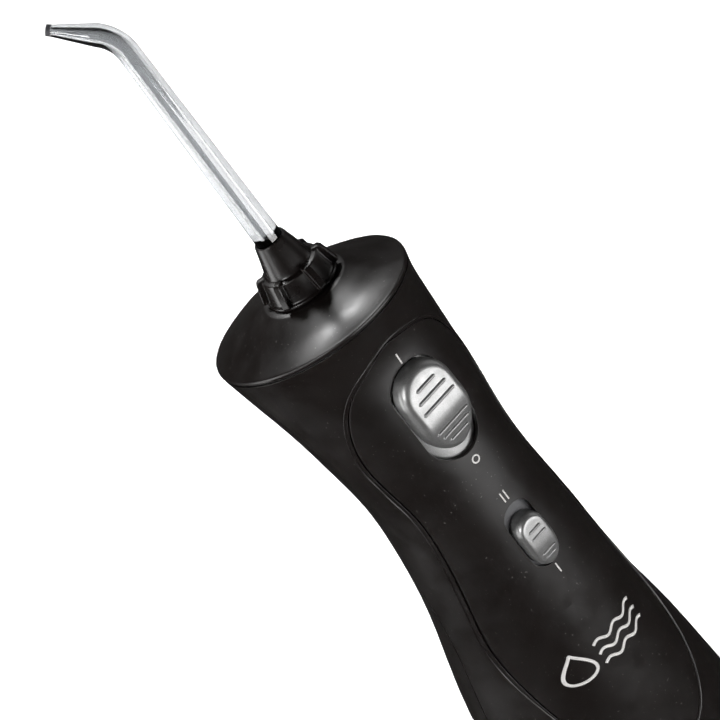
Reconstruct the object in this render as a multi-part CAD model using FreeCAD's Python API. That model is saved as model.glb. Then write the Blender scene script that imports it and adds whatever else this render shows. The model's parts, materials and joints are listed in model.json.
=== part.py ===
"""Cordless water flosser: a waisted handle with a domed head, a turning knob, a lift-out
jet tip, two front sliders, a pull-off water tank and the drive train inside.

Frame: millimetres, +Z up, the tip's axis is the Z axis, the floor is z = 0, the front is -Y.
"""

import FreeCAD, Part
import math
import os

V = FreeCAD.Vector
O, X, Y, Z = V(0, 0, 0), V(1, 0, 0), V(0, 1, 0), V(0, 0, 1)

# Body: each row is height, half width, reach to the front, reach to the rear, tilt of the
# section about X in degrees (front edge up). The last row is the rim.
RIM_Z, RIM_TILT = 193.0, 9.8
BODY = (
    (2.2, 34.5, 27.0, 51.0, 0.0),
    (13.0, 34.2, 26.9, 50.8, 0.0),
    (25.0, 33.4, 26.8, 50.0, 0.0),
    (50.0, 31.0, 26.0, 47.5, 0.0),
    (73.0, 27.6, 25.2, 42.5, 0.0),
    (91.0, 24.6, 24.8, 36.0, 0.0),
    (108.0, 22.9, 24.4, 29.0, 0.0),
    (123.0, 21.5, 23.9, 25.8, 0.0),
    (138.0, 20.6, 23.4, 24.5, 0.0),
    (151.0, 21.4, 23.1, 24.3, 0.0),
    (165.0, 23.0, 22.4, 25.2, 0.0),
    (176.0, 24.3, 21.6, 28.2, 2.0),
    (185.0, 25.3, 22.8, 34.5, 6.0),
    (RIM_Z, 26.0, 28.0, 42.6, RIM_TILT),
)
FOOT_INSET = 1.8            # how far the bottom edge is drawn in
WALL = 2.2                  # housing and tank wall
COVER = 1.25                # front cover thickness
SEAM = 0.35                 # visible gap between outer panels
BASE_H = 4.0                # base plate height

# Tank split seen from the side: (y, z) points from the floor up and out through the back.
SPLIT = ((10.0, -6.0), (10.0, 30.0), (10.0, 60.0), (8.6, 84.0), (6.4, 98.0), (6.2, 110.0),
         (9.0, 121.0), (16.0, 129.0), (30.0, 135.0), (62.0, 143.0))
TANK_GAP = 0.4

# Front cover outline, right half from the top middle to the bottom middle: (x, z).
COVER_EDGE = ((0.0, 189.0), (7.4, 186.4), (13.6, 182.2), (17.6, 174.8), (19.3, 164.0),
              (18.5, 153.0), (17.3, 142.0), (17.7, 130.0), (19.7, 113.0), (21.6, 95.0),
              (21.4, 78.0), (18.2, 60.0), (10.5, 48.0), (0.0, 44.0))
LEDGE = 3.0                 # width of the ledge the cover sits on

# Sliders: middle height, half width and half height of the opening.
POWER_Z, POWER_HX, POWER_HZ = 166.3, 8.0, 14.7
PRESS_Z, PRESS_HX, PRESS_HZ = 122.3, 4.5, 10.3
PAD_GAP = 0.3

# Head: knob, cone, tip.
KNOB_Z = 203.7              # underside of the knob's flange
KNOB_R, RIB_R, RIB_COUNT = 9.6, 10.6, 6
CONE_TOP = 15.1             # height of the cone above the knob's underside
NECK_R, NECK_LEN = 7.0, 12.5
STEM_R, SHAFT_R, END_R = 3.45, 2.75, 1.4
BEND_Z, BEND_R, BEND_DEG = 281.5, 9.0, 55.0
NOZZLE_LEN = 15.0           # from the bend's corner to the end
NOZZLE_AZ = 133.4           # heading of the nozzle about Z
BORE_R, JET_R = 1.2, 0.55
STEM_LOW = 186.0
SEAT_R = 11.0               # flat ring on the dome around the knob
# Dome from rim to seat: share of the way out to the rim, height over the rim's middle.
DOME = ((0.985, 0.0), (1.0, 0.7), (0.96, 1.6), (0.75, 3.4), (0.5, 5.7), (0.25, 8.2), (0.0, 10.3))
SOCKET_R = 5.2

# Drive train.
MOTOR_Y, MOTOR_Z, MOTOR_R = -6.0, 70.0, 7.5
GEAR_MODULE, PINION_TEETH, GEAR_TEETH = 0.75, 10, 30
GEAR_Z = MOTOR_Z + GEAR_MODULE * (PINION_TEETH + GEAR_TEETH) / 2
GEAR_X, GEAR_W = 9.5, 3.5
CRANK, CRANK_PIN_R = 1.5, 1.0
STROKE = 3.0
PUMP_X, PUMP_R, PUMP_BORE = 6.75, 5.5, 4.5
PUMP_Z0, PUMP_Z1 = 101.0, 125.0
FIT = 0.05                  # radial running clearance

# Filling door in the back of the tank, and its hinge.
DOOR_HX, DOOR_Z0, DOOR_Z1 = 13.0, 80.0, 108.0
HINGE_R, HINGE_PIN_R = 1.6, 0.6

# Charging port.
PORT_Z, PORT_R, PORT_DEPTH = 15.0, 1.75, 7.5


def save(name, shape):
    """Writes one node."""
    shape.exportStep("parts/" + name + ".step")


def section(row, inset=0.0):
    """An oval wire of the body, drawn in by inset."""
    z, half_width, front, rear, tilt = row
    ring = Part.Circle(O, Z, 1.0).toShape()
    ring.rotate(O, Z, 90)
    place = FreeCAD.Matrix()
    place.scale(half_width - inset, (front + rear) / 2 - inset, 1.0)
    place.rotateX(-math.radians(tilt))
    place.move(V(0, (rear - front) / 2, z))
    return Part.Wire(ring.transformGeometry(place).Edges)


def oval_body(inset=0.0):
    """The handle's solid from the floor to the rim, drawn in by inset."""
    foot = (0.0,) + tuple(v - FOOT_INSET for v in BODY[0][1:4]) + (0.0,)
    low = Part.makeLoft([section(foot, inset), section(BODY[0], inset)], True, True)
    high = Part.makeLoft([section(row, inset) for row in BODY], True, False, False, 3)
    return low.fuse(high)


def box(x0, x1, y0, y1, z0, z1):
    return Part.makeBox(x1 - x0, y1 - y0, z1 - z0, V(x0, y0, z0))


def rod(radius, start, axis, length):
    return Part.makeCylinder(radius, length, start, axis)


def tube(outer, inner, start, axis, length):
    return rod(outer, start, axis, length).cut(rod(inner, start, axis, length))


def rim_slab(low, high):
    """Everything between two heights measured square to the rim's plane."""
    slab = box(-60, 60, -80, 80, low, high)
    slab.rotate(O, X, -RIM_TILT)
    middle = (BODY[-1][3] - BODY[-1][2]) / 2
    slab.translate(V(0, middle, RIM_Z))
    return slab


def below_rim(shape, depth):
    """The part of a shape that is at least depth below the rim's plane."""
    return shape.cut(rim_slab(-depth, 60))


def rim_ring(outside, inside, low, high):
    """A band that follows the rim between two insets and two heights square to its plane."""
    lean = math.radians(RIM_TILT)
    normal = V(0, math.sin(lean), math.cos(lean))
    blocks = []
    for inset in (outside, inside):
        face = Part.Face(section(BODY[-1], inset))
        face.translate(normal * low)
        blocks.append(face.extrude(normal * (high - low)))
    return blocks[0].cut(blocks[1])


def tank_region(inset=0.0):
    """The space behind and below the split, drawn in by inset."""
    points = [V(0, y + inset, z - inset) for y, z in SPLIT]
    edge = Part.BSplineCurve()
    edge.interpolate(points)
    corners = [points[-1], V(0, 90, points[-1].z), V(0, 90, points[0].z), points[0]]
    outline = Part.Wire([edge.toShape()] + Part.makePolygon(corners).Edges)
    region = Part.Face(outline).extrude(V(120, 0, 0))
    region.translate(V(-60, 0, 0))
    return region


def cover_prism(grow=0.0):
    """The front cover's outline as a prism through the front wall."""
    right = [V(x + grow * (x > 0), -60, z) for x, z in COVER_EDGE]
    right[0].z += grow
    right[-1].z -= grow
    left = [V(-p.x, p.y, p.z) for p in reversed(right[1:-1])]
    edge = Part.BSplineCurve()
    edge.interpolate(right + left, PeriodicFlag=True)
    return Part.Face(Part.Wire(edge.toShape())).extrude(V(0, 58, 0))


def stadium(z, hx, hz, y0, y1):
    """An upright slot with round ends, through the thickness y0 to y1."""
    middle = box(-hx, hx, y0, y1, z - hz + hx, z + hz - hx)
    ends = [rod(hx, V(0, y0, z + side * (hz - hx)), Y, y1 - y0) for side in (-1, 1)]
    return middle.fuse(ends).removeSplitter()


def hose(points, outer, inner):
    """A tube along straight runs between the points, round at each corner."""
    skins = []
    for radius in (outer, inner):
        runs = []
        for start, end in zip(points, points[1:]):
            runs.append(rod(radius, start, end - start, start.distanceToPoint(end)))
        corners = [Part.makeSphere(radius, corner) for corner in points[1:-1]]
        skins.append(runs[0].fuse(runs[1:] + corners))
    return skins[0].cut(skins[1])


def gear(teeth, start, width, phase):
    """A spur gear about an axis along X, one tooth pointing at phase degrees from +Y."""
    pitch = GEAR_MODULE * teeth / 2
    step = 2 * math.pi / teeth
    shape = ((-0.30, -0.62), (-0.12, 0.40), (0.12, 0.40), (0.30, -0.62))
    corners = []
    for tooth in range(teeth):
        for across, out in shape:
            angle = math.radians(phase) + (tooth + across) * step
            radius = pitch + out * GEAR_MODULE * 2 * 0.75
            corners.append(start + V(0, radius * math.cos(angle), radius * math.sin(angle)))
    return Part.Face(Part.makePolygon(corners + corners[:1])).extrude(V(width, 0, 0))


# ---- outer shell -------------------------------------------------------------------------

def housing(outer, inner):
    """Front and upper shell: one wall, open where the tank, cover, button and port go."""
    shell = below_rim(outer, 0.5).cut(inner).cut(tank_region())
    shell = shell.cut(box(-60, 60, -60, 90, -10, BASE_H + SEAM))
    recess = cover_prism(SEAM).common(outer.cut(oval_body(COVER + 0.05)))
    shell = shell.cut(recess).cut(cover_prism(-LEDGE))
    shell = shell.cut(eject_slot(0.0))
    shell = shell.cut(rod(4.3, V(0, -60, PORT_Z), Y, 50))
    bosses = [boss(x, y).common(outer).cut(tank_region()) for x, y in SCREWS]
    return shell.fuse(bosses)


SCREWS = ((-27.6, -3.0), (27.6, -3.0), (-10.5, -20.6), (10.5, -20.6))


def boss(x, y):
    """A screw boss standing on the base plate."""
    return tube(3.2, 1.05, V(x, y, BASE_H + SEAM), Z, 10.0)


def base_plate(outer):
    plate = outer.common(box(-60, 60, -60, 90, 0.6, BASE_H)).cut(tank_region())
    for x, y in SCREWS:
        plate = plate.cut(rod(1.3, V(x, y, -1), Z, 10))
        plate = plate.cut(rod(2.3, V(x, y, -1), Z, 3.2))
    return plate


def case_screws():
    """Four screws up through the base plate into the bosses."""
    heads = [rod(2.1, V(x, y, 0.9), Z, 1.3) for x, y in SCREWS]
    heads = [head.cut(cross_recess(*at)) for head, at in zip(heads, SCREWS)]
    shanks = [rod(1.0, V(x, y, 2.2), Z, 10.0) for x, y in SCREWS]
    return Part.makeCompound([head.fuse(shank) for head, shank in zip(heads, shanks)])


def cross_recess(x, y):
    """The cross-shaped drive recess of a screw head."""
    bars = [box(x - 1.3, x + 1.3, y - 0.3, y + 0.3, 0, 1.6)]
    bars.append(box(x - 0.3, x + 0.3, y - 1.3, y + 1.3, 0, 1.6))
    return bars[0].fuse(bars[1])


def front_cover(outer):
    """The thin panel that carries both switch openings."""
    panel = cover_prism().common(outer.cut(oval_body(COVER)))
    panel = panel.cut(stadium(POWER_Z, POWER_HX, POWER_HZ, -60, -5))
    return panel.cut(stadium(PRESS_Z, PRESS_HX, PRESS_HZ, -60, -5))


def bulkhead():
    """The wall that closes the housing towards the tank."""
    plate = tank_region(-2.0).cut(tank_region(-0.1)).common(oval_body(WALL + 0.1))
    plate = plate.cut(box(-60, 60, -60, 90, -10, BASE_H + 0.1))
    return plate.cut(rod(3.2, V(0, 0, 30), Y, 20))


def rim_gasket():
    """The soft ring in the groove under the head's rim."""
    return rim_ring(0.7, 2.0, -0.46, -0.16)


def top_cap():
    """Domed head cap, from the rim in to the knob's seat, with a hole for the knob's neck."""
    wires = []
    for part, lift in DOME:
        middle, depth = 7.3 * part, SEAT_R + 24.3 * part
        row = (RIM_Z + lift, SEAT_R + 15.0 * part, depth - middle, depth + middle,
               RIM_TILT * part)
        wires.append(section(row))
    cap = Part.makeLoft(wires, True, False, False, 3)
    return cap.cut(rod(NECK_R + 0.4, V(0, 0, RIM_Z - 10), Z, 40))


# ---- sliders and button ------------------------------------------------------------------

def slider_plate(z, hx, hz, shoulder=0.0):
    """The thin carrier that runs behind the cover, narrower over its top shoulder."""
    skin = oval_body(COVER + 0.45).cut(oval_body(COVER + 1.35))
    wide = box(-hx, hx, -60, -5, z - hz, z + hz - shoulder)
    narrow = box(-0.7 * hx, 0.7 * hx, -60, -5, z - hz, z + hz)
    return skin.common(wide.fuse(narrow).removeSplitter())


def pad(z, hx, hz, profile):
    """A raised thumb pad: an upright slot shape cut to a side profile, edges rounded.

    profile is a list of (y, z) points along the pad's outer face, top to bottom."""
    block = stadium(z, hx, hz, -40, -14)
    side = [V(-30, y, h) for y, h in profile]
    side += [V(-30, -14, side[-1].z), V(-30, -14, side[0].z)]
    keep = Part.Face(Part.makePolygon(side + side[:1])).extrude(V(60, 0, 0))
    return block.common(keep)


def pad_ribs(rows, face):
    """Grip bars across a pad; rows are (height, half length), face gives y at a height."""
    bars = []
    for height, half in rows:
        y = face(height)
        bars.append(box(-half, half, y - 0.45, y + 1.2, height - 0.35, height + 0.35))
    return bars


def polyline(points):
    """A function that reads y along straight pieces between (y, z) points, z falling."""
    def read(z):
        for (y0, z0), (y1, z1) in zip(points, points[1:]):
            if z1 <= z <= z0:
                return y0 + (y1 - y0) * (z0 - z) / (z0 - z1)
        return points[-1][0]
    return read


POWER_FACE = ((-23.4, 180.8), (-25.6, 177.6), (-27.0, 166.0), (-24.2, 154.6))
PRESS_FACE = ((-25.4, 128.8), (-26.6, 126.6), (-27.1, 119.6), (-25.4, 112.2))


def power_slider():
    """The on/off slider: carrier, raised pad and six grip bars."""
    plate = slider_plate(POWER_Z - 1.0, 9.6, 19.0, 5.0)
    body = pad(167.6, POWER_HX - PAD_GAP, 13.0, POWER_FACE)
    bars = pad_ribs(((175.0, 3.4), (172.2, 4.8), (169.4, 5.6)), polyline(POWER_FACE))
    bars += pad_ribs(((163.0, 5.6), (160.8, 4.8), (158.6, 3.4)), polyline(POWER_FACE))
    whole = plate.fuse([body] + bars)
    return whole.cut(oval_body(COVER + 1.35)).removeSplitter()


def pressure_slider():
    """The two-step pressure slider, resting at the lower end of its slot."""
    plate = slider_plate(PRESS_Z - 1.5, 6.0, 15.5)
    body = pad(120.5, PRESS_HX - PAD_GAP, 8.2, PRESS_FACE)
    bars = pad_ribs(((124.6, 2.2), (122.4, 2.6)), polyline(PRESS_FACE))
    bars += pad_ribs(((117.4, 2.4), (115.6, 1.8)), polyline(PRESS_FACE))
    whole = plate.fuse([body] + bars)
    return whole.cut(oval_body(COVER + 1.35)).removeSplitter()


def eject_slot(gap):
    """The release button's outline through the back of the head."""
    z, hx, hz = 177.6, 8.5 - gap, 5.2 - gap
    middle = box(-hx + hz, hx - hz, 12, 60, z - hz, z + hz)
    ends = [rod(hz, V(side * (hx - hz), 12, z), Y, 48) for side in (-1, 1)]
    return middle.fuse(ends).removeSplitter()


def eject_button():
    """Tip release button: a curved key with a stem, pressed straight in towards the tip."""
    skin = oval_body(0.0)
    skin.translate(V(0, 0.9, 0))
    back = oval_body(0.0)
    back.translate(V(0, -2.4, 0))
    key = skin.cut(back).common(eject_slot(0.35))
    stem = rod(1.6, V(0, 17, 178.2), Y, 12.5)
    return key.fuse(stem)


def latch_plate():
    """Ring around the tip's socket, carried by the release button's stem."""
    plate = box(-8, 8, -8.2, 17, 177.4, 179.0)
    hole = box(-5.7, 5.7, 0, 2.5, 177, 180).fuse(rod(5.7, V(0, 0, 177), Z, 3))
    return plate.cut(hole.fuse(rod(5.7, V(0, 2.5, 177), Z, 3)))


def eject_spring():
    """Return spring around the release button's stem."""
    helix = Part.makeHelix(1.1, 5.5, 2.6)
    ring = Part.Wire(Part.Circle(V(2.6, 0, 0), Y, 0.3).toShape())
    coil = Part.Wire(helix.Edges).makePipeShell([ring], True, True)
    coil.rotate(O, X, -90)
    coil.translate(V(0, 18.2, 178.2))
    return coil


# ---- head --------------------------------------------------------------------------------

def knob():
    """Turning knob: flared ring with upright ribs, and the cone that grips the tip."""
    profile = ((NECK_R, -NECK_LEN), (NECK_R, 0.0), (KNOB_R, 0.0), (KNOB_R, 0.7), (9.0, 0.95),
               (7.7, 5.4), (7.0, 6.5), (6.3, 6.8), (6.0, 8.0), (4.05, CONE_TOP),
               (STEM_R + FIT, CONE_TOP), (STEM_R + FIT, 6.0), (5.6, 4.6), (5.6, -NECK_LEN))
    corners = [V(r, 0, KNOB_Z + z) for r, z in profile]
    body = Part.Face(Part.makePolygon(corners + corners[:1])).revolve(O, Z, 360)
    ribs = []
    for index in range(RIB_COUNT):
        rib = knob_rib()
        rib.rotate(O, Z, index * 360.0 / RIB_COUNT - 90)
        ribs.append(rib)
    return body.fuse(ribs).removeSplitter()


def knob_rib():
    """One upright rib on the +X side."""
    side = ((7.4, 0.75), (RIB_R - 0.3, 0.75), (RIB_R, 1.2), (8.9, 6.6), (8.3, 7.2), (6.6, 7.2))
    corners = [V(r, -0.95, KNOB_Z + z) for r, z in side]
    return Part.Face(Part.makePolygon(corners + corners[:1])).extrude(V(0, 1.9, 0))


def knob_clip():
    """Ring that snaps on the knob's neck under the cap."""
    return tube(8.6, NECK_R, V(0, 0, KNOB_Z - NECK_LEN + 0.1), Z, 1.0)


def head_frame():
    """Plate across the head that carries the tip's socket."""
    plate = oval_body(WALL + 0.15).common(box(-60, 60, -60, 60, 171.0, 173.0))
    plate = plate.cut(rod(3.0, V(0, 0, 160), Z, 30)).cut(box(-12, 12, -40, -14, 160, 180))
    plate = plate.cut(box(-10, 10, 19, 60, 160, 180))
    post = box(-5, 5, 15.4, 17.0, 173.0, 175.6)
    return plate.fuse(post).removeSplitter()


def tip_socket():
    """Fixed tube that the tip's stem plugs into, with a hose barb below."""
    body = tube(SOCKET_R, STEM_R + 0.35, V(0, 0, 180), Z, KNOB_Z + 3.8 - 180)
    low = tube(SOCKET_R, 1.4, V(0, 0, 173.05), Z, 6.95)
    barb = tube(2.2, 1.4, V(0, 0, 163), Z, 10.05)
    seat = rod(4.3, V(0, 0, 190), Z, 1.6)
    return body.fuse(low).fuse(barb).cut(seat).removeSplitter()


def tip_oring():
    """Seal between the socket and the tip's stem."""
    ring = Part.makeTorus(STEM_R + FIT + 0.36, 0.36, V(0, 0, 190.8), Z)
    return ring


def taper(radius, end_radius, length, start, axis):
    """A round bar that narrows towards its end, or a plain one when both radii agree."""
    if radius == end_radius:
        return rod(radius, start, axis, length)
    return Part.makeCone(radius, end_radius, length, start, axis)


def tip_path_solid(radii, low):
    """The tip's outer or inner shape: straight taper, bend, tapered nozzle.

    radii are at the stem, at the bend and at the end."""
    foot, bend, end = radii
    reach = BEND_R * math.tan(math.radians(BEND_DEG / 2))
    cone_z = KNOB_Z + CONE_TOP
    turn_z = BEND_Z - reach
    lower = rod(foot, V(0, 0, low), Z, cone_z - low)
    upper = taper(foot, bend, turn_z - cone_z, V(0, 0, cone_z), Z)
    ring = Part.Face(Part.Wire(Part.Circle(V(0, 0, turn_z), Z, bend).toShape()))
    elbow = ring.revolve(V(BEND_R, 0, turn_z), Y, BEND_DEG)
    lean = math.radians(BEND_DEG)
    heading = V(math.sin(lean), 0, math.cos(lean))
    start = V(0, 0, BEND_Z) + heading * reach
    nozzle = taper(bend, end, NOZZLE_LEN - reach, start, heading)
    whole = lower.fuse([upper, elbow, nozzle])
    whole.rotate(O, Z, NOZZLE_AZ)
    return whole


def jet_tip():
    """Clear bent tip with a bore all the way through."""
    skin = tip_path_solid((STEM_R, SHAFT_R, END_R), STEM_LOW)
    bore = tip_path_solid((BORE_R, BORE_R, JET_R), STEM_LOW - 1)
    return skin.cut(bore)


def tip_orifice():
    """Small ring at the nozzle's mouth."""
    lean, around = math.radians(BEND_DEG), math.radians(NOZZLE_AZ)
    heading = V(math.sin(lean) * math.cos(around), math.sin(lean) * math.sin(around), math.cos(lean))
    return tube(END_R, JET_R, V(0, 0, BEND_Z) + heading * NOZZLE_LEN, heading, 1.1)


# ---- tank --------------------------------------------------------------------------------

def back_y(z):
    """How far back the outer surface is at a height, on the middle line."""
    rows = [(row[3], row[0]) for row in reversed(BODY)]
    return polyline(rows)(z)


def door_prism(gap):
    return box(-DOOR_HX + gap, DOOR_HX - gap, 15, 60, DOOR_Z0 + gap, DOOR_Z1 - gap)


def hinge_at():
    """A point on the filling door's hinge axis."""
    return V(0, back_y(DOOR_Z1) + 0.7, DOOR_Z1 + 0.6)


def reservoir(outer):
    """Hollow water tank with a filling mouth in its back and a port in its front wall."""
    solid = outer.common(tank_region(TANK_GAP))
    solid = solid.cut(box(-60, 60, -60, 90, -10, 0.6))
    room = oval_body(WALL).common(tank_region(TANK_GAP + WALL))
    room = room.cut(box(-60, 60, -60, 90, -10, 3.2))
    at = hinge_at()
    tank = solid.cut(room).cut(door_prism(0.0))
    ears = [rod(HINGE_R, at + V(x, 0, 0), X, 4.2).fuse(ear_foot(at, x)) for x in (-8.6, 4.4)]
    tank = tank.fuse(ears)
    tank = tank.cut(rod(HINGE_R + 0.45, at + V(-4.4, 0, 0), X, 8.8))
    tank = tank.cut(rod(HINGE_PIN_R, at + V(-9, 0, 0), X, 18))
    return tank.cut(rod(4.6, V(0, 5, 30), Y, 12))


def ear_foot(at, x):
    """Joins one hinge ear to the tank's wall above the door."""
    return box(x, x + 4.2, at.y - 4.2, at.y, at.z - 0.6, at.z + 1.5)


def fill_door(outer):
    """Curved door over the filling mouth, hanging from its top edge."""
    at = hinge_at()
    panel = outer.cut(oval_body(WALL)).common(door_prism(0.4))
    panel = panel.cut(rod(HINGE_R + 0.4, at + V(-9, 0, 0), X, 18))
    knuckle = rod(HINGE_R, at + V(-4.0, 0, 0), X, 8.0)
    arm = box(-4.0, 4.0, at.y - 1.6, at.y + 0.4, at.z - 3.6, at.z)
    lift = tab(at)
    door = panel.fuse([knuckle, arm, lift])
    return door.cut(rod(HINGE_PIN_R + FIT, at + V(-5, 0, 0), X, 10))


def tab(at):
    """Finger lip along the door's lower edge."""
    y = back_y(DOOR_Z0 + 3)
    return box(-6, 6, y - 1.4, y + 1.3, DOOR_Z0 + 1.2, DOOR_Z0 + 2.8)


def door_pin():
    return rod(HINGE_PIN_R, hinge_at() + V(-8.6, 0, 0), X, 17.2)


def door_seal():
    """Rubber frame on the inside of the filling door."""
    band = oval_body(WALL + 0.15).cut(oval_body(WALL + 1.2))
    return band.common(door_prism(2.9)).cut(door_prism(4.7))


def port_seal():
    """Bush in the tank's front wall that grips the housing's spigot."""
    return tube(4.6, 3.0 + FIT, V(0, 10.6, 30), Y, 2.0)


def inlet_spigot():
    """Water inlet pipe standing out of the bulkhead into the tank."""
    return tube(3.0, 1.9, V(0, 4.0, 30), Y, 12.0)


def pickup_tube():
    """Bent pipe inside the tank from the port down to the lowest point."""
    head = tube(5.2, 3.4, V(0, 12.7, 30), Y, 5.0)
    back = rod(5.2, V(0, 17.7, 30), Y, 1.2)
    leg = tube(2.0, 1.3, V(0, 18.3, 5.0), Z, 22.0)
    cup = head.fuse(back)
    return cup.fuse(leg.cut(cup)).removeSplitter()


def feet(places):
    """Rubber feet under the base."""
    return Part.makeCompound([rod(3.4, V(x, y, 0.0), Z, 0.6) for x, y in places])


# ---- inside ------------------------------------------------------------------------------

def motor():
    can = rod(MOTOR_R, V(-16, MOTOR_Y, MOTOR_Z), X, 22)
    nose = rod(3.0, V(6, MOTOR_Y, MOTOR_Z), X, 1.5)
    lugs = [box(-17.6, -16, MOTOR_Y + side * 3 - 0.8, MOTOR_Y + side * 3 + 0.8, 69, 71)
            for side in (-1, 1)]
    return can.fuse([nose] + lugs).cut(rod(1.0, V(4, MOTOR_Y, MOTOR_Z), X, 10))


def motor_bracket():
    """Saddle behind the motor with an arm that holds the gear's axle."""
    saddle = box(-14, 2, MOTOR_Y + 3, 4.4, 61.6, 78.4)
    saddle = saddle.cut(rod(MOTOR_R + 0.05, V(-20, MOTOR_Y, MOTOR_Z), X, 40))
    back = box(-14, 16, 4.4, 5.8, 61.6, 78.4)
    arm = box(14.2, 16, MOTOR_Y - 3, 5.8, 70, 89)
    axle = rod(1.25, V(14.2, MOTOR_Y, GEAR_Z), X, 1.9)
    return saddle.fuse([back, arm]).cut(axle).removeSplitter()


def motor_pinion():
    """Pinion pressed on the motor's shaft, turning with it."""
    wheel = gear(PINION_TEETH, V(GEAR_X, MOTOR_Y, MOTOR_Z), GEAR_W, 90 + 180.0 / PINION_TEETH)
    shaft = rod(0.95, V(4.2, MOTOR_Y, MOTOR_Z), X, GEAR_X + GEAR_W - 4.2)
    return wheel.fuse(shaft)


def drive_gear():
    wheel = gear(GEAR_TEETH, V(GEAR_X, MOTOR_Y, GEAR_Z), GEAR_W, -90)
    crank = rod(CRANK_PIN_R, V(5.2, MOTOR_Y, GEAR_Z - CRANK), X, 4.4)
    boss_disc = rod(4.0, V(GEAR_X - 0.8, MOTOR_Y, GEAR_Z), X, 0.9)
    hole = rod(1.25 + FIT, V(GEAR_X + 0.4, MOTOR_Y, GEAR_Z), X, 10)
    return wheel.fuse([boss_disc, crank]).cut(hole)


def gear_axle():
    return rod(1.25, V(GEAR_X + 0.6, MOTOR_Y, GEAR_Z), X, 16.1 - GEAR_X - 0.6)


def piston():
    """Yoke around the crank pin, rod and piston head in one piece."""
    low = GEAR_Z - STROKE / 2
    yoke = box(5.6, 7.9, MOTOR_Y - 4.6, MOTOR_Y + 4.6, low - 5.5, low + 5.5)
    window = box(5, 9, MOTOR_Y - 2.9, MOTOR_Y + 2.9, low - 4.3, low + 4.3)
    stem = rod(1.15, V(PUMP_X, MOTOR_Y, low + 5.0), Z, 18.5)
    head = rod(PUMP_BORE - 0.35, V(PUMP_X, MOTOR_Y, 107.0), Z, 6.0)
    groove = tube(6, 3.4, V(PUMP_X, MOTOR_Y, 109.2), Z, 1.6)
    return yoke.cut(window).fuse([stem, head]).cut(groove).removeSplitter()


def piston_seal():
    return tube(PUMP_BORE - FIT, 3.42, V(PUMP_X, MOTOR_Y, 109.3), Z, 1.4)


def pump_cylinder():
    wall = tube(PUMP_R, PUMP_BORE, V(PUMP_X, MOTOR_Y, PUMP_Z0), Z, PUMP_Z1 - PUMP_Z0)
    bracket = box(PUMP_X - 3, PUMP_X + 3, MOTOR_Y + 4.9, 4.0, 104, 112)
    return wall.fuse(bracket).cut(rod(PUMP_BORE, V(PUMP_X, MOTOR_Y, 100), Z, 26))


def pump_head():
    """Block over the cylinder with an inlet on the left and an outlet on top."""
    block = box(0.5, 13.0, MOTOR_Y - 6, MOTOR_Y + 6, PUMP_Z1 + 0.6, PUMP_Z1 + 8.6)
    inlet = tube(2.2, 1.2, V(-4.5, MOTOR_Y, PUMP_Z1 + 4.5), X, 5.2)
    outlet = tube(2.2, 1.2, V(PUMP_X, MOTOR_Y, PUMP_Z1 + 8.4), Z, 5.0)
    block = block.fuse([inlet, outlet])
    block = block.cut(rod(1.2, V(-5, MOTOR_Y, PUMP_Z1 + 4.5), X, 8))
    block = block.cut(rod(2.4, V(PUMP_X, MOTOR_Y, PUMP_Z1), Z, 8.0))
    return block.cut(rod(1.2, V(PUMP_X, MOTOR_Y, PUMP_Z1), Z, 14))


def head_gasket():
    return tube(PUMP_R, PUMP_BORE, V(PUMP_X, MOTOR_Y, PUMP_Z1 + 0.05), Z, 0.5)


def check_valves():
    """Inlet and outlet valve discs in the pump's head."""
    outlet = tube(2.3, 0.8, V(PUMP_X, MOTOR_Y, PUMP_Z1 + 6.6), Z, 1.2)
    inlet = tube(2.3, 0.8, V(PUMP_X, MOTOR_Y, PUMP_Z1 + 1.4), Z, 1.2)
    return Part.makeCompound([outlet, inlet])


# The suction hose's run from the inlet spigot round the cells and up to the pump.
SUCTION_PATH = (V(0, 3.4, 30), V(0, 0.7, 32), V(-18.0, 0.7, 50), V(-18.0, 3.0, 84),
                V(-12, -1, 104), V(-10, MOTOR_Y, PUMP_Z1 + 4.5), V(-4.55, MOTOR_Y, PUMP_Z1 + 4.5))


def battery_cells():
    cells = []
    for x in (-8.0, 8.0):
        can = rod(7.2, V(x, -8.6, 8.4), Z, 47.0)
        cells.append(can.fuse(rod(2.4, V(x, -8.6, 55.3), Z, 1.4)))
    return Part.makeCompound(cells)


def battery_holder():
    """Tray under the cells with a back wall and a lid over them."""
    tray = box(-15.6, 15.6, -14.0, 2.4, 6.4, 8.3)
    back = box(-15.6, 15.6, -1.2, 2.4, 8.3, 58.4)
    lid = box(-15.6, 15.6, -14.0, 2.4, 57.6, 59.2)
    holder = tray.fuse([back, lid])
    for x in (-8.0, 8.0):
        holder = holder.cut(rod(7.3, V(x, -8.6, 8.3), Z, 49.3))
    holder = holder.cut(rod(3.6, V(0, -2, 30), Y, 10))
    start, end = SUCTION_PATH[1:3]
    channel = rod(2.3, start, end - start, start.distanceToPoint(end))
    return holder.cut([channel, Part.makeSphere(2.3, start)])


def battery_contacts():
    """Metal strip that joins the two cells' upper ends."""
    return box(-11, 11, -11.0, -6.2, 56.75, 57.2)


def circuit_board():
    board = box(-10, 10, -17.0, -15.6, 100, 169)
    chips = [box(-4, 4, -15.6, -14.4, 140, 147), box(3, 8, -15.6, -14.0, 151, 156)]
    return board.fuse(chips).removeSplitter()


def slide_switch(z):
    """Switch body on the board behind a slider."""
    return box(-3.4, 3.4, -18.6, -17.05, z - 6, z + 6)


def charge_socket():
    """Round power inlet behind the front wall, closed at its inner end."""
    body = rod(4.1, V(0, -26.4, PORT_Z), Y, 9.0)
    return body.cut(rod(PORT_R, V(0, -27, PORT_Z), Y, PORT_DEPTH + 0.6))


def suction_hose():
    return hose(SUCTION_PATH, 1.9, 1.2)


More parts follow.
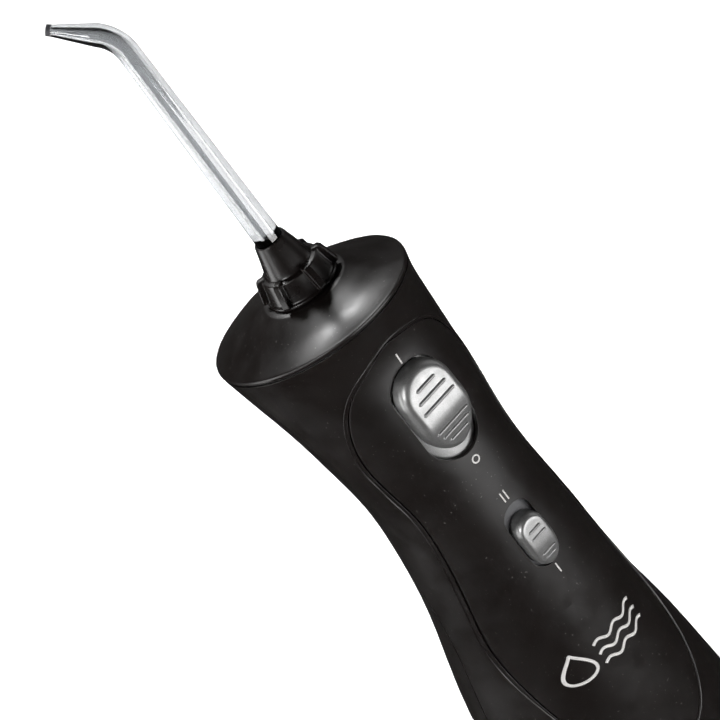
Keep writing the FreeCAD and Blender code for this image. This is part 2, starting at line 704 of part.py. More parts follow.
def discharge_hose():
    points = [V(PUMP_X, MOTOR_Y, PUMP_Z1 + 9.0), V(PUMP_X, MOTOR_Y, PUMP_Z1 + 17)]
    points += [V(0, 0, 160), V(0, 0, 170)]
    return hose(points, 3.0, 2.25)


def main():
    os.makedirs("parts", exist_ok=True)
    outer, inner = oval_body(), oval_body(WALL)
    save("housing", housing(outer, inner))
    save("base_plate", base_plate(outer))
    save("case_screws", case_screws())
    save("front_cover", front_cover(outer))
    save("bulkhead", bulkhead())
    save("rim_gasket", rim_gasket())
    save("top_cap", top_cap())
    save("power_slider", power_slider())
    save("pressure_slider", pressure_slider())
    save("eject_button", eject_button())
    save("latch_plate", latch_plate())
    save("eject_spring", eject_spring())
    save("knob", knob())
    save("knob_clip", knob_clip())
    save("head_frame", head_frame())
    save("tip_socket", tip_socket())
    save("tip_oring", tip_oring())
    save("jet_tip", jet_tip())
    save("tip_orifice", tip_orifice())
    save("reservoir", reservoir(outer))
    save("fill_door", fill_door(outer))
    save("door_pin", door_pin())
    save("door_seal", door_seal())
    save("port_seal", port_seal())
    save("inlet_spigot", inlet_spigot())
    save("pickup_tube", pickup_tube())
    save("front_feet", feet(((-17, -12), (17, -12), (0, 0))))
    save("rear_feet", feet(((-18, 34), (18, 34))))
    save("motor", motor())
    save("motor_bracket", motor_bracket())
    save("motor_pinion", motor_pinion())
    save("drive_gear", drive_gear())
    save("gear_axle", gear_axle())
    save("piston", piston())
    save("piston_seal", piston_seal())
    save("pump_cylinder", pump_cylinder())
    save("pump_head", pump_head())
    save("head_gasket", head_gasket())
    save("check_valves", check_valves())
    save("battery_cells", battery_cells())
    save("battery_holder", battery_holder())
    save("battery_contacts", battery_contacts())
    save("circuit_board", circuit_board())
    save("power_switch", slide_switch(POWER_Z - 2))
    save("pressure_switch", slide_switch(PRESS_Z))
    save("charge_socket", charge_socket())
    save("suction_hose", suction_hose())
    save("discharge_hose", discharge_hose())


main()
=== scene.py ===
import json
import math

import bmesh
import bpy
from mathutils import Matrix, Vector
from mathutils.bvhtree import BVHTree


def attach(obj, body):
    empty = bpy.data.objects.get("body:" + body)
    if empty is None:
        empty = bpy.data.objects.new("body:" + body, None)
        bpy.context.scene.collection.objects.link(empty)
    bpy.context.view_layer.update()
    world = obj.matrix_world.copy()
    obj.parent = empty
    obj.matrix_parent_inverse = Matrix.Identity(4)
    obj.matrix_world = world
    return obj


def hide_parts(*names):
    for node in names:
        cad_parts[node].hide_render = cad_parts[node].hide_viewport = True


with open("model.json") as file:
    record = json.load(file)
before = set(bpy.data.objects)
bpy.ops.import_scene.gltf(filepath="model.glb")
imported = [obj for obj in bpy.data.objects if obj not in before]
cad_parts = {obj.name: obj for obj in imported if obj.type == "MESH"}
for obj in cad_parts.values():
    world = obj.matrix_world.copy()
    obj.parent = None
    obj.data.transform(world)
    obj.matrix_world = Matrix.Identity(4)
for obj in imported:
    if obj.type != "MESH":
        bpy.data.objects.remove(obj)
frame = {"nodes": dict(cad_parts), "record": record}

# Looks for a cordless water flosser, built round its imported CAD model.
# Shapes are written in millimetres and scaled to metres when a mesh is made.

MM = 0.001
NODES = frame["nodes"]
SLOT_OF = {part["node"]: part["material_slot"] for part in frame["record"]["subparts"]}
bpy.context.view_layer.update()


# ---- camera ------------------------------------------------------------------------------

AIM = Vector((0.0, 0.0, 203.7)) * MM     # underside of the knob
VIEW_AZ, VIEW_EL, VIEW_ROLL = -20.0, 27.3, 37.0
VIEW_DISTANCE = 0.650
LENS_MM, SENSOR_MM = 136.5, 36.0
OFF_CENTRE = (0.0209, 0.0279)            # how far left of and above the centre AIM appears


def make_camera():
    """A long lens at the photograph's viewing angle, rolled as the hand holds the object."""
    az, el, roll = (math.radians(v) for v in (VIEW_AZ, VIEW_EL, VIEW_ROLL))
    back = Vector((math.sin(az) * math.cos(el), -math.cos(az) * math.cos(el), math.sin(el)))
    level = Vector((math.cos(az), math.sin(az), 0.0))
    upright = back.cross(level)
    right = level * math.cos(roll) - upright * math.sin(roll)
    up = upright * math.cos(roll) + level * math.sin(roll)
    data = bpy.data.cameras.new("camera")
    data.lens = LENS_MM
    data.sensor_width = SENSOR_MM
    camera = bpy.data.objects.new("camera", data)
    bpy.context.scene.collection.objects.link(camera)
    ahead = (right * OFF_CENTRE[0] - up * OFF_CENTRE[1] - back).normalized()
    right = (right - ahead * right.dot(ahead)).normalized()
    place = Matrix((right, right.cross(ahead), -ahead)).transposed().to_4x4()
    place.translation = AIM + back * VIEW_DISTANCE
    camera.matrix_world = place
    bpy.context.scene.camera = camera


# ---- materials ---------------------------------------------------------------------------

class Look:
    """A material under construction: its node tree, shader and object coordinates."""

    def __init__(self, name):
        self.material = bpy.data.materials.new(name)
        self.material.use_nodes = True
        self.tree = self.material.node_tree
        self.shader = self.tree.nodes["Principled BSDF"]
        self.where = self.tree.nodes.new("ShaderNodeTexCoord").outputs["Object"]

    def node(self, kind, **values):
        made = self.tree.nodes.new(kind)
        for key, value in values.items():
            setattr(made, key, value)
        return made

    def link(self, output, socket):
        self.tree.links.new(output, socket)

    def noise(self, size_mm, detail=2.0, stretch=None):
        """A cloud pattern whose features are about size_mm across."""
        made = self.node("ShaderNodeTexNoise")
        made.inputs["Scale"].default_value = 1.0 / (size_mm * MM)
        made.inputs["Detail"].default_value = detail
        self.link(self.stretched(stretch), made.inputs["Vector"])
        return made.outputs["Fac"]

    def stretched(self, stretch):
        if stretch is None:
            return self.where
        mapping = self.node("ShaderNodeMapping")
        mapping.inputs["Scale"].default_value = stretch
        self.link(self.where, mapping.inputs["Vector"])
        return mapping.outputs["Vector"]

    def spread(self, value, low, high, low_in=0.3, high_in=0.7):
        """Maps a pattern's range onto low to high."""
        made = self.node("ShaderNodeMapRange")
        for key, number in (("From Min", low_in), ("From Max", high_in),
                            ("To Min", low), ("To Max", high)):
            made.inputs[key].default_value = number
        self.link(value, made.inputs["Value"])
        return made.outputs["Result"]

    def mix(self, factor, first, second):
        """Blends two colours, each a tuple or a socket."""
        made = self.node("ShaderNodeMix", data_type="RGBA")
        self.link(factor, made.inputs[0])
        for socket, colour in ((made.inputs[6], first), (made.inputs[7], second)):
            if isinstance(colour, tuple):
                socket.default_value = (*colour, 1.0)
            else:
                self.link(colour, socket)
        return made.outputs[2]

    def bump(self, height, depth_mm, soft_edge_mm=0.0, under=None):
        """Adds relief from a pattern, over softened edges or over an earlier bump."""
        made = self.node("ShaderNodeBump")
        made.inputs["Distance"].default_value = depth_mm * MM
        self.link(height, made.inputs["Height"])
        if soft_edge_mm:
            under = self.soft_normal(soft_edge_mm)
        if under is not None:
            self.link(under, made.inputs["Normal"])
        return made.outputs["Normal"]

    def soft_normal(self, radius_mm):
        made = self.node("ShaderNodeBevel", samples=4)
        made.inputs["Radius"].default_value = radius_mm * MM
        return made.outputs["Normal"]

    def edge(self, radius_mm):
        """Rises from 0 on flat faces to 1 on edges, for rubbed wear and a painted edge highlight.
        """
        bend = self.node("ShaderNodeVectorMath", operation="DOT_PRODUCT")
        self.link(self.soft_normal(radius_mm), bend.inputs[0])
        self.link(self.node("ShaderNodeNewGeometry").outputs["Normal"], bend.inputs[1])
        return self.spread(bend.outputs["Value"], 1.0, 0.0, 0.86, 0.99)

    def set(self, **values):
        for key, value in values.items():
            self.shader.inputs[key.replace("_", " ")].default_value = value

    def drive(self, name, output):
        self.link(output, self.shader.inputs[name])


def moulded(name, colour, light, rough, soft_edge_mm=0.25, dust=0.10):
    """Satin moulded plastic: spark-eroded grain, handling marks, dust, edges lightened as rubbed
    wear and painted highlight.
    """
    look = Look(name)
    cloud = look.spread(look.noise(14.0, 3.0), 0.0, 1.0)
    base = look.mix(cloud, colour, light)
    speck = look.spread(look.noise(0.55, 0.0), 0.0, dust, 0.80, 0.84)
    base = look.mix(speck, base, (0.55, 0.53, 0.50))
    # Edges are painted lighter: partly rubbed wear, partly a painted edge highlight.
    edge_wear_and_highlight = look.edge(0.35)
    rub = look.node("ShaderNodeMath", operation="MULTIPLY")
    look.link(edge_wear_and_highlight, rub.inputs[0])
    look.link(look.spread(look.noise(2.5), 0.0, 0.5), rub.inputs[1])
    base = look.mix(rub.outputs[0], base, tuple(min(1.0, c * 3.0) for c in light))
    look.drive("Base Color", base)
    look.drive("Roughness", look.spread(look.noise(6.0, 5.0), rough - 0.05, rough + 0.06))
    coarse = look.bump(look.noise(9.0, 1.0), 0.012, soft_edge_mm)
    look.drive("Normal", look.bump(look.noise(0.32, 2.0), 0.006, under=coarse))
    look.set(Specular_IOR_Level=0.5, IOR=1.5)
    return look.material


def silver_paint():
    """Satin silver lacquer: metal flakes under a thin clear coat."""
    look = Look("silver_paint")
    flakes = look.node("ShaderNodeTexVoronoi")
    flakes.inputs["Scale"].default_value = 1.0 / (0.16 * MM)
    look.link(look.where, flakes.inputs["Vector"])
    tone = look.spread(flakes.outputs["Color"], 0.0, 1.0, 0.1, 0.9)
    base = look.mix(tone, (0.21, 0.21, 0.21), (0.28, 0.28, 0.278))
    rub = look.spread(look.noise(3.0, 4.0), 0.0, 0.35)
    look.drive("Base Color", look.mix(rub, base, (0.19, 0.188, 0.185)))
    look.drive("Roughness", look.spread(look.noise(2.0, 4.0), 0.34, 0.46))
    coarse = look.bump(look.noise(5.0, 1.0), 0.02)
    look.drive("Normal", look.bump(flakes.outputs["Distance"], 0.004, under=coarse))
    look.set(Metallic=0.8, Coat_Weight=0.25, Coat_Roughness=0.25)
    return look.material


def clear_plastic():
    """Clear moulded tip: faint flow lines along its length."""
    look = Look("clear_plastic")
    flow = look.noise(2.2, 2.0, (1.0, 1.0, 0.08))
    look.drive("Base Color", look.mix(flow, (0.36, 0.37, 0.38), (0.45, 0.46, 0.47)))
    look.drive("Roughness", look.spread(look.noise(1.5, 3.0), 0.02, 0.07))
    look.drive("Normal", look.bump(flow, 0.004))
    look.set(Transmission_Weight=1.0, IOR=1.49)
    return look.material


def printed(name, colour):
    """Pad-printed ink with a slightly broken surface."""
    look = Look(name)
    wear = look.spread(look.noise(0.4, 3.0), 0.0, 0.5, 0.55, 0.75)
    look.drive("Base Color", look.mix(wear, colour, tuple(0.55 * c for c in colour)))
    look.drive("Roughness", look.spread(look.noise(0.8), 0.40, 0.55))
    look.drive("Normal", look.bump(look.noise(0.25), 0.003))
    return look.material


def rubber(name, colour):
    look = Look(name)
    dusty = look.spread(look.noise(3.0, 4.0), 0.0, 0.35)
    look.drive("Base Color", look.mix(dusty, colour, tuple(c + 0.03 for c in colour)))
    look.drive("Roughness", look.spread(look.noise(1.2, 3.0), 0.62, 0.82))
    look.drive("Normal", look.bump(look.noise(0.2, 2.0), 0.012, 0.2))
    return look.material


def metal(name, colour, rough, stretch=(1.0, 1.0, 12.0)):
    """Drawn or plated metal with fine parallel marks and dull patches."""
    look = Look(name)
    marks = look.noise(0.5, 3.0, stretch)
    dull = look.spread(look.noise(4.0, 3.0), 0.0, 0.5)
    look.drive("Base Color", look.mix(dull, colour, tuple(0.75 * c for c in colour)))
    look.drive("Roughness", look.spread(marks, rough - 0.08, rough + 0.12))
    look.drive("Normal", look.bump(marks, 0.004, 0.15))
    look.set(Metallic=1.0)
    return look.material


def board_green():
    """Solder mask over faint copper tracks."""
    look = Look("board_green")
    tracks = look.node("ShaderNodeTexBrick")
    tracks.inputs["Scale"].default_value = 1.0 / (6.0 * MM)
    tracks.inputs["Mortar Size"].default_value = 0.03
    look.link(look.where, tracks.inputs["Vector"])
    green = look.mix(tracks.outputs["Fac"], (0.02, 0.16, 0.07), (0.06, 0.30, 0.13))
    look.drive("Base Color", green)
    look.drive("Roughness", look.spread(look.noise(2.0), 0.25, 0.4))
    look.drive("Normal", look.bump(tracks.outputs["Fac"], 0.03))
    return look.material


def soft_tube():
    look = Look("soft_tube")
    look.drive("Base Color", look.mix(look.noise(3.0), (0.55, 0.58, 0.58), (0.72, 0.74, 0.73)))
    look.drive("Roughness", look.spread(look.noise(1.5), 0.3, 0.45))
    look.drive("Normal", look.bump(look.noise(0.8), 0.02))
    look.set(Transmission_Weight=0.5, IOR=1.42)
    return look.material


BLACK, BLACK_LIGHT = (0.0042, 0.0026, 0.0022), (0.0062, 0.0042, 0.0037)


def make_looks():
    """One look for each material slot of the record."""
    return {
        "black_satin": moulded("black_satin", BLACK, BLACK_LIGHT, 0.36),
        "cover_black": moulded("cover_black", BLACK, BLACK_LIGHT, 0.37),
        "tank_black": moulded("tank_black", BLACK, BLACK_LIGHT, 0.36),
        "knob_black": moulded("knob_black", BLACK, BLACK_LIGHT, 0.27, dust=0.04),
        "slider_silver": silver_paint(),
        "inner_plastic": moulded("inner_plastic", (0.045, 0.045, 0.048), (0.07, 0.07, 0.075), 0.5),
        "black_rubber": rubber("black_rubber", (0.012, 0.012, 0.012)),
        "screw_steel": metal("screw_steel", (0.52, 0.52, 0.53), 0.30),
        "spring_steel": metal("spring_steel", (0.62, 0.62, 0.63), 0.25),
        "tip_clear": clear_plastic(),
        "tip_ring": moulded("tip_ring", (0.05, 0.05, 0.055), (0.08, 0.08, 0.085), 0.3),
        "motor_steel": metal("motor_steel", (0.55, 0.55, 0.56), 0.32, (12.0, 1.0, 1.0)),
        "gear_brass": metal("gear_brass", (0.75, 0.58, 0.28), 0.3),
        "gear_plastic": moulded("gear_plastic", (0.70, 0.70, 0.67), (0.78, 0.78, 0.75), 0.42),
        "cell_green": moulded("cell_green", (0.05, 0.25, 0.11), (0.08, 0.32, 0.15), 0.3),
        "board_green": board_green(),
        "hose_clear": soft_tube(),
    }


def dress_nodes(looks):
    """Gives each CAD node the look of its material slot."""
    for name, thing in NODES.items():
        look = looks[SLOT_OF[name]]
        if not thing.material_slots:
            thing.data.materials.append(look)
        for slot in thing.material_slots:
            slot.material = look


# ---- mesh helpers ------------------------------------------------------------------------

def add_piece(name, corners, faces, look, body):
    """Makes a smooth mesh object from millimetre corners and puts it on a body."""
    mesh = bpy.data.meshes.new(name)
    mesh.from_pydata([Vector(c) * MM for c in corners], [], faces)
    mesh.validate()
    shape = bmesh.new()
    shape.from_mesh(mesh)
    bmesh.ops.recalc_face_normals(shape, faces=shape.faces)
    shape.to_mesh(mesh)
    shape.free()
    mesh.shade_smooth()
    mesh.set_sharp_from_angle(angle=math.radians(38.0))
    mesh.materials.append(look)
    thing = bpy.data.objects.new(name, mesh)
    bpy.context.scene.collection.objects.link(thing)
    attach(thing, body)
    return thing


def bevel(thing, width_mm, segments=3, angle=35.0):
    change = thing.modifiers.new("rounding", "BEVEL")
    change.width = width_mm * MM
    change.segments = segments
    change.limit_method = "ANGLE"
    change.angle_limit = math.radians(angle)
    change.harden_normals = True


def skin(rings, close_ends=True):
    """Faces that join equal rings of corners one after another."""
    size = len(rings[0])
    corners = [corner for ring in rings for corner in ring]
    faces = []
    for row in range(len(rings) - 1):
        for i in range(size):
            j = (i + 1) % size
            faces.append((row * size + i, row * size + j, (row + 1) * size + j,
                          (row + 1) * size + i))
    if close_ends:
        faces.append(tuple(reversed(range(size))))
        faces.append(tuple(range((len(rings) - 1) * size, len(rings) * size)))
    return corners, faces


def turns(count):
    """Angles of evenly spaced points round a circle."""
    return [2 * math.pi * k / count for k in range(count)]


def join(*shapes):
    """Several (corners, faces) shapes as one."""
    corners, faces = [], []
    for more_corners, more_faces in shapes:
        start = len(corners)
        corners += more_corners
        faces += [tuple(start + i for i in face) for face in more_faces]
    return corners, faces


def spline(p, t):
    """A point at t from 0 to 1 between the middle two of four points."""
    a = p[1] * 2 + (p[2] - p[0]) * t
    b = (p[0] * 2 - p[1] * 5 + p[2] * 4 - p[3]) * t * t
    c = (p[1] * 3 - p[0] - p[2] * 3 + p[3]) * t ** 3
    return (a + b + c) * 0.5


def caster(node):
    """Reads a CAD node's surface along Y at (x, z), in millimetres."""
    mesh = NODES[node].data
    tree = BVHTree.FromPolygons([v.co for v in mesh.vertices],
                                [p.vertices for p in mesh.polygons])

    def read(x, z, start_y=-200.0, heading=1.0):
        hit = tree.ray_cast(Vector((x, start_y, z)) * MM, Vector((0, heading, 0)))[0]
        return None if hit is None else hit.y / MM
    return read


# ---- sliders -----------------------------------------------------------------------------

ARC_STEPS, SIDE_STEPS = 24, 12


def stadium(hx, hz, middle, taper=0.0, ridge=0.0):
    """Corners (x, z) of an upright slot shape; below the ridge it narrows by taper."""
    corners = []
    for end in (1, -1):
        for i in range(ARC_STEPS):
            a = math.pi * i / ARC_STEPS
            corners.append((end * hx * math.cos(a), end * (hz - hx + hx * math.sin(a))))
        for i in range(SIDE_STEPS):
            corners.append((-end * hx, end * (hz - hx) * (1 - 2 * i / SIDE_STEPS)))
    placed = []
    for x, z in corners:
        z += middle
        fall = max(0.0, (ridge - z) / (ridge - middle + hz)) if taper else 0.0
        placed.append((x * (1 - taper * fall ** 1.6), z))
    return placed


def raised(outline, foot_y, face, width, depth, taper=0.0, ridge=0.0):
    """A pad: upright wall from foot_y, rounded shoulder, then the face."""
    hx, hz, middle = outline
    rings = []
    edge = stadium(hx, hz, middle, taper, ridge)
    rings.append([(x, foot_y, z) for x, z in edge])
    for step in range(9):
        a = math.radians(90.0 * step / 8)
        inset = width * (1 - math.cos(a))
        shoulder = stadium(hx - inset, hz - inset, middle, taper, ridge)
        fall = depth * (1 - math.sin(a))
        rings.append([(x, min(foot_y, face(z) + fall), z) for x, z in shoulder])
    inner = stadium(hx - width, hz - width, middle, taper, ridge)
    for step in range(1, 10):
        share = 1 - step / 10.0
        rings.append([(x * share, face(middle + (z - middle) * share),
                       middle + (z - middle) * share) for x, z in inner])
    return skin(rings)


def ridge_face(crest_y, ridge, up_slope, down_slope, soft=0.5):
    """A pad's face: two slopes that meet in a soft ridge; gives y at a height."""
    def face(z):
        high = -crest_y - up_slope * (z - ridge)
        low = -crest_y + down_slope * (z - ridge)
        gap = high - low
        return -((high + low) / 2 - math.sqrt(gap * gap + soft * soft) / 2)
    return face


def bar(half, y, z, radius):
    """A grip bar along X with round ends."""
    rings = []
    for side in (-1, 1):
        for step in range(5):
            a = math.radians(90.0 * (step if side < 0 else 4 - step) / 4)
            x = side * (half - radius * math.sin(a))
            r = radius * (0.12 + 0.88 * math.sin(a))
            rings.append([(x, y + r * math.cos(t), z + r * math.sin(t)) for t in turns(12)])
    return skin(rings)


def carrier(node, half_x, low_z, high_z, narrowing=0.0, thick=0.9):
    """The slider's plate behind the cover, read off the CAD plate's back.

    Its sides draw in by narrowing below its top edge, as the CAD plate's do."""
    read = caster(node)
    columns, rows = 12, 24
    corners, faces = [], []
    for layer in (0.0, thick):
        for row in range(rows + 1):
            for column in range(columns + 1):
                z = low_z + (high_z - low_z) * row / rows
                drawn_in = max(0.0, min(1.0, 0.5 * (z - high_z + 7.5)))
                x = (half_x - narrowing * drawn_in) * (2.0 * column / columns - 1)
                corners.append((x, read(x, z, -5.0, -1.0) - layer, z))
    wide = columns + 1
    layer_size = wide * (rows + 1)
    for row in range(rows):
        for column in range(columns):
            a = row * wide + column
            faces.append((a, a + 1, a + wide + 1, a + wide))
            b = a + layer_size
            faces.append((b, b + wide, b + wide + 1, b + 1))
    rim = [c for c in range(wide)] + [r * wide + columns for r in range(1, rows + 1)]
    rim += [rows * wide + c for c in range(columns - 1, -1, -1)]
    rim += [r * wide for r in range(rows - 1, 0, -1)]
    for i, a in enumerate(rim):
        b = rim[(i + 1) % len(rim)]
        faces.append((a, a + layer_size, b + layer_size, b))
    return corners, faces


# Each pad's outline is its half width, half height and middle height, its foot is the depth
# its wall starts from, and its crest is the depth and height of the ridge across its face.
# Grip bars are given by height and half length.
POWER_OUTLINE, POWER_FOOT, POWER_CREST = (7.7, 13.0, 167.6), -21.0, (-27.0, 166.0)
POWER_BARS = ((175.6, 3.4), (172.8, 4.9), (169.9, 5.6), (163.3, 5.5), (161.2, 4.7), (159.1, 3.3))
PRESSURE_OUTLINE, PRESSURE_FOOT, PRESSURE_CREST = (4.2, 8.2, 120.5), -22.0, (-27.1, 119.6)
PRESSURE_BARS = ((124.6, 2.2), (122.6, 2.6), (117.2, 2.4), (115.6, 1.8))


def make_power_pad(looks):
    face = ridge_face(*POWER_CREST, 0.12, 0.246)
    pad = raised(POWER_OUTLINE, POWER_FOOT, face, 2.1, 2.6, 0.30, POWER_CREST[1])
    bars = [bar(half, face(z) + 0.10, z, 0.52) for z, half in POWER_BARS]
    corners, faces = join(pad, *bars)
    piece = add_piece("power_pad", corners, faces, looks["slider_silver"],
                      "power_slide")
    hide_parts("power_slider")
    corners, faces = carrier("power_slider", 9.3, 146.6, 183.7, 3.0)
    add_piece("power_plate", corners, faces, looks["slider_silver"],
              "power_slide")


def make_pressure_pad(looks):
    face = ridge_face(*PRESSURE_CREST, 0.09, 0.20)
    pad = raised(PRESSURE_OUTLINE, PRESSURE_FOOT, face, 1.3, 2.0, 0.25, PRESSURE_CREST[1])
    bars = [bar(half, face(z) + 0.08, z, 0.42) for z, half in PRESSURE_BARS]
    corners, faces = join(pad, *bars)
    piece = add_piece("pressure_pad", corners, faces, looks["slider_silver"],
                      "pressure_slide")
    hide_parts("pressure_slider")
    corners, faces = carrier("pressure_slider", 5.8, 105.6, 136.0)
    add_piece("pressure_plate", corners, faces, looks["inner_plastic"],
              "pressure_slide")


# ---- knob --------------------------------------------------------------------------------

KNOB_Z = 203.7
KNOB_PROFILE = ((7.0, -12.5), (7.0, 0.0), (9.6, 0.0), (9.6, 0.75), (8.95, 1.0), (8.35, 3.2),
                (7.95, 5.2), (7.70, 6.4), (6.35, 6.7), (6.1, 7.3), (5.9, 8.2), (4.05, 15.1),
                (3.55, 15.1), (3.55, 6.0), (5.6, 4.6), (5.6, -12.5))
KNOB_SIDES = 96
RIB_COUNT, RIB_HALF = 6, 0.95
RIB_SIDE = ((7.2, 0.75), (10.3, 0.75), (10.6, 1.3), (9.2, 6.4), (8.5, 7.1), (6.6, 7.1))


def knob_rib(angle):
    """One upright grip rib, as a tapered block that stands out of the flared ring."""
    turn = Matrix.Rotation(angle, 3, "Z")
    rings = []
    for across in (-RIB_HALF, RIB_HALF):
        rings.append([tuple(turn @ Vector((r, across, KNOB_Z + z))) for r, z in RIB_SIDE])
    return skin(rings)


def make_knob(looks):
    rings = []
    for r, z in KNOB_PROFILE + KNOB_PROFILE[:1]:
        rings.append([(r * math.cos(t), r * math.sin(t), KNOB_Z + z)
                      for t in turns(KNOB_SIDES)])
    body = skin(rings, close_ends=False)
    ribs = [knob_rib(math.radians(360 / RIB_COUNT * k - 90)) for k in range(RIB_COUNT)]
    corners, faces = join(body, *ribs)
    piece = add_piece("grip_knob", corners, faces, looks["knob_black"], "knob")
    bevel(piece, 0.28)
    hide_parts("knob")


# ---- jet tip -----------------------------------------------------------------------------

STEM_LOW, CONE_TOP_Z, BEND_Z = 186.0, 218.8, 281.5
STEM_R, SHAFT_R, END_R, BORE_R, JET_R = 3.45, 2.75, 1.4, 1.2, 0.55
BEND_R, BEND_DEG, NOZZLE_LEN, NOZZLE_AZ = 9.0, 55.0, 15.0, 133.4
TIP_SIDES = 48


def tip_line():
    """Stations along the tip's middle: place in its plane, lean, outer and bore radius."""
    reach = BEND_R * math.tan(math.radians(BEND_DEG / 2))
    turn = BEND_Z - reach
    stations = [(0.0, STEM_LOW, 0.0, STEM_R, BORE_R), (0.0, CONE_TOP_Z, 0.0, STEM_R, BORE_R)]
    for step in range(1, 9):
        share = step / 8.0
        stations.append((0.0, CONE_TOP_Z + (turn - CONE_TOP_Z) * share, 0.0,
                         STEM_R + (SHAFT_R - STEM_R) * share, BORE_R))
    for step in range(1, 17):
        lean = math.radians(BEND_DEG * step / 16)
        stations.append((BEND_R * (1 - math.cos(lean)), turn + BEND_R * math.sin(lean), lean,
                         SHAFT_R, BORE_R))
    lean = math.radians(BEND_DEG)
    x, z = stations[-1][:2]
    length = NOZZLE_LEN - reach
    for share in (0.2, 0.4, 0.6, 0.8, 0.93, 1.0):
        stations.append((x + math.sin(lean) * length * share, z + math.cos(lean) * length * share,
                         lean, SHAFT_R + (END_R - SHAFT_R) * share,
                         BORE_R + (JET_R - BORE_R) * share))
    return stations


def tip_ring(x, z, lean, radius):
    """A circle square to the tip's middle line, turned to the nozzle's heading."""
    turn = Matrix.Rotation(math.radians(NOZZLE_AZ), 3, "Z")
    points = []
    for t in turns(TIP_SIDES):
        side, out = radius * math.sin(t), radius * math.cos(t)
        at = Vector((x + out * math.cos(lean), side, z - out * math.sin(lean)))
        points.append(tuple(turn @ at))
    return points


def make_tip(looks):
    stations = tip_line()
    outside = [tip_ring(x, z, lean, outer) for x, z, lean, outer, bore in stations]
    inside = [tip_ring(x, z, lean, bore) for x, z, lean, outer, bore in reversed(stations)]
    rings = outside + inside
    corners, faces = skin(rings + rings[:1], close_ends=False)
    piece = add_piece("clear_tip", corners, faces, looks["tip_clear"], "tip")
    bevel(piece, 0.18, 2, 50.0)
    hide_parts("jet_tip")


# ---- head cap ----------------------------------------------------------------------------

RIM_Z, RIM_TILT = 193.0, 9.8
RIM_BACK = 7.3                           # how far behind the knob the rim's middle lies
RIM_WIDER, RIM_DEEPER = 15.0, 24.3       # the rim's half sizes over the seat's radius
SEAT_R = 11.0
HOLE_R = 7.4
# From the rim in to the knob's seat: share of the way out, height over the rim's middle.
CAP_EDGE = ((0.986, 0.02), (1.0, 0.2), (1.0, 0.7), (0.996, 0.95), (0.986, 1.15), (0.965, 1.38))
CAP_SLOPE = ((0.965, 1.38), (0.75, 3.4), (0.5, 5.75), (0.25, 8.15), (0.0, 10.3))


def cap_ring(share, lift):
    """An oval of the head between the round seat (share 0) and the slanted rim (share 1)."""
    lean = math.radians(RIM_TILT * share)
    points = []
    for t in turns(KNOB_SIDES):
        across = (SEAT_R + RIM_WIDER * share) * math.cos(t)
        along = (SEAT_R + RIM_DEEPER * share) * math.sin(t)
        points.append((across, RIM_BACK * share + along * math.cos(lean),
                       RIM_Z + lift - along * math.sin(lean)))
    return points


def between(rows, per_span=5):
    """Rows of a smooth curve through the given (share, lift) rows."""
    made = []
    for i in range(len(rows) - 1):
        p = [Vector(rows[min(max(i + k, 0), len(rows) - 1)]) for k in (-1, 0, 1, 2)]
        for step in range(per_span):
            made.append(tuple(spline(p, step / per_span)))
    return made + [rows[-1]]


def make_cap(looks):
    rings = [cap_ring(*row) for row in CAP_EDGE]
    rings += [cap_ring(*row) for row in between(CAP_SLOPE)[1:]]
    hole = [(HOLE_R * math.cos(t), HOLE_R * math.sin(t)) for t in turns(KNOB_SIDES)]
    top = RIM_Z + CAP_SLOPE[-1][1]
    rings.append([(x, y, top) for x, y in hole])
    low = RIM_Z + CAP_EDGE[0][1]
    fall = math.tan(math.radians(RIM_TILT))
    rings.append([(x, y, low - (y - RIM_BACK) * fall) for x, y in hole])
    corners, faces = skin(rings + rings[:1], close_ends=False)
    piece = add_piece("dome_cap", corners, faces, looks["black_satin"], "handle")
    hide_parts("top_cap")


# ---- cover bead and printed marks --------------------------------------------------------

COVER_EDGE = ((0.0, 189.0), (7.4, 186.4), (13.6, 182.2), (17.6, 174.8), (19.3, 164.0),
              (18.5, 153.0), (17.3, 142.0), (17.7, 130.0), (19.7, 113.0), (21.6, 95.0),
              (21.4, 78.0), (18.2, 60.0), (10.5, 48.0), (0.0, 44.0))


BEAD_OUT = 0.95                          # from the cover's edge to the bead's middle
BEAD_HALF, BEAD_HIGH, BEAD_SIDES = 0.34, 0.22, 10


def smooth_loop(points, per_span=10):
    """A closed Catmull-Rom curve through the points, as (x, z) pairs."""
    loop = []
    count = len(points)
    for i in range(count):
        p = [Vector(points[(i + k) % count]) for k in (-1, 0, 1, 2)]
        for step in range(per_span):
            loop.append(spline(p, step / per_span))
    return loop


def make_bead(looks):
    """Thin raised line on the housing just outside the front cover's gap."""
    points = list(COVER_EDGE) + [(-x, z) for x, z in reversed(COVER_EDGE[1:-1])]
    loop = smooth_loop(points)
    read = caster("housing")
    rings = []
    count = len(loop)
    for i, at in enumerate(loop):
        along = (loop[(i + 1) % count] - loop[i - 1]).normalized()
        out = Vector((-along.y, along.x))
        x, z = at + out * BEAD_OUT
        y = read(x, z)
        rings.append([(x + out.x * BEAD_HALF * math.cos(t), y - BEAD_HIGH * math.sin(t),
                       z + out.y * BEAD_HALF * math.cos(t)) for t in turns(BEAD_SIDES)])
    corners, faces = skin(rings + rings[:1], close_ends=False)
    add_piece("cover_bead", corners, faces, looks["black_satin"], "handle")


def stroke(points, width, closed=False):
    """A ribbon of even width along (x, z) points: its left and right edges."""
    count = len(points)
    pairs = []
    for i, at in enumerate(points):
        before = points[i - 1] if closed or i else at
        after = points[(i + 1) % count] if closed or i < count - 1 else at
        along = (Vector(after) - Vector(before)).normalized()
        out = Vector((-along.y, along.x)) * width / 2
        pairs.append((Vector(at) + out, Vector(at) - out))
    return pairs, closed


INK_OVER, INK_THICK = 0.03, 0.05


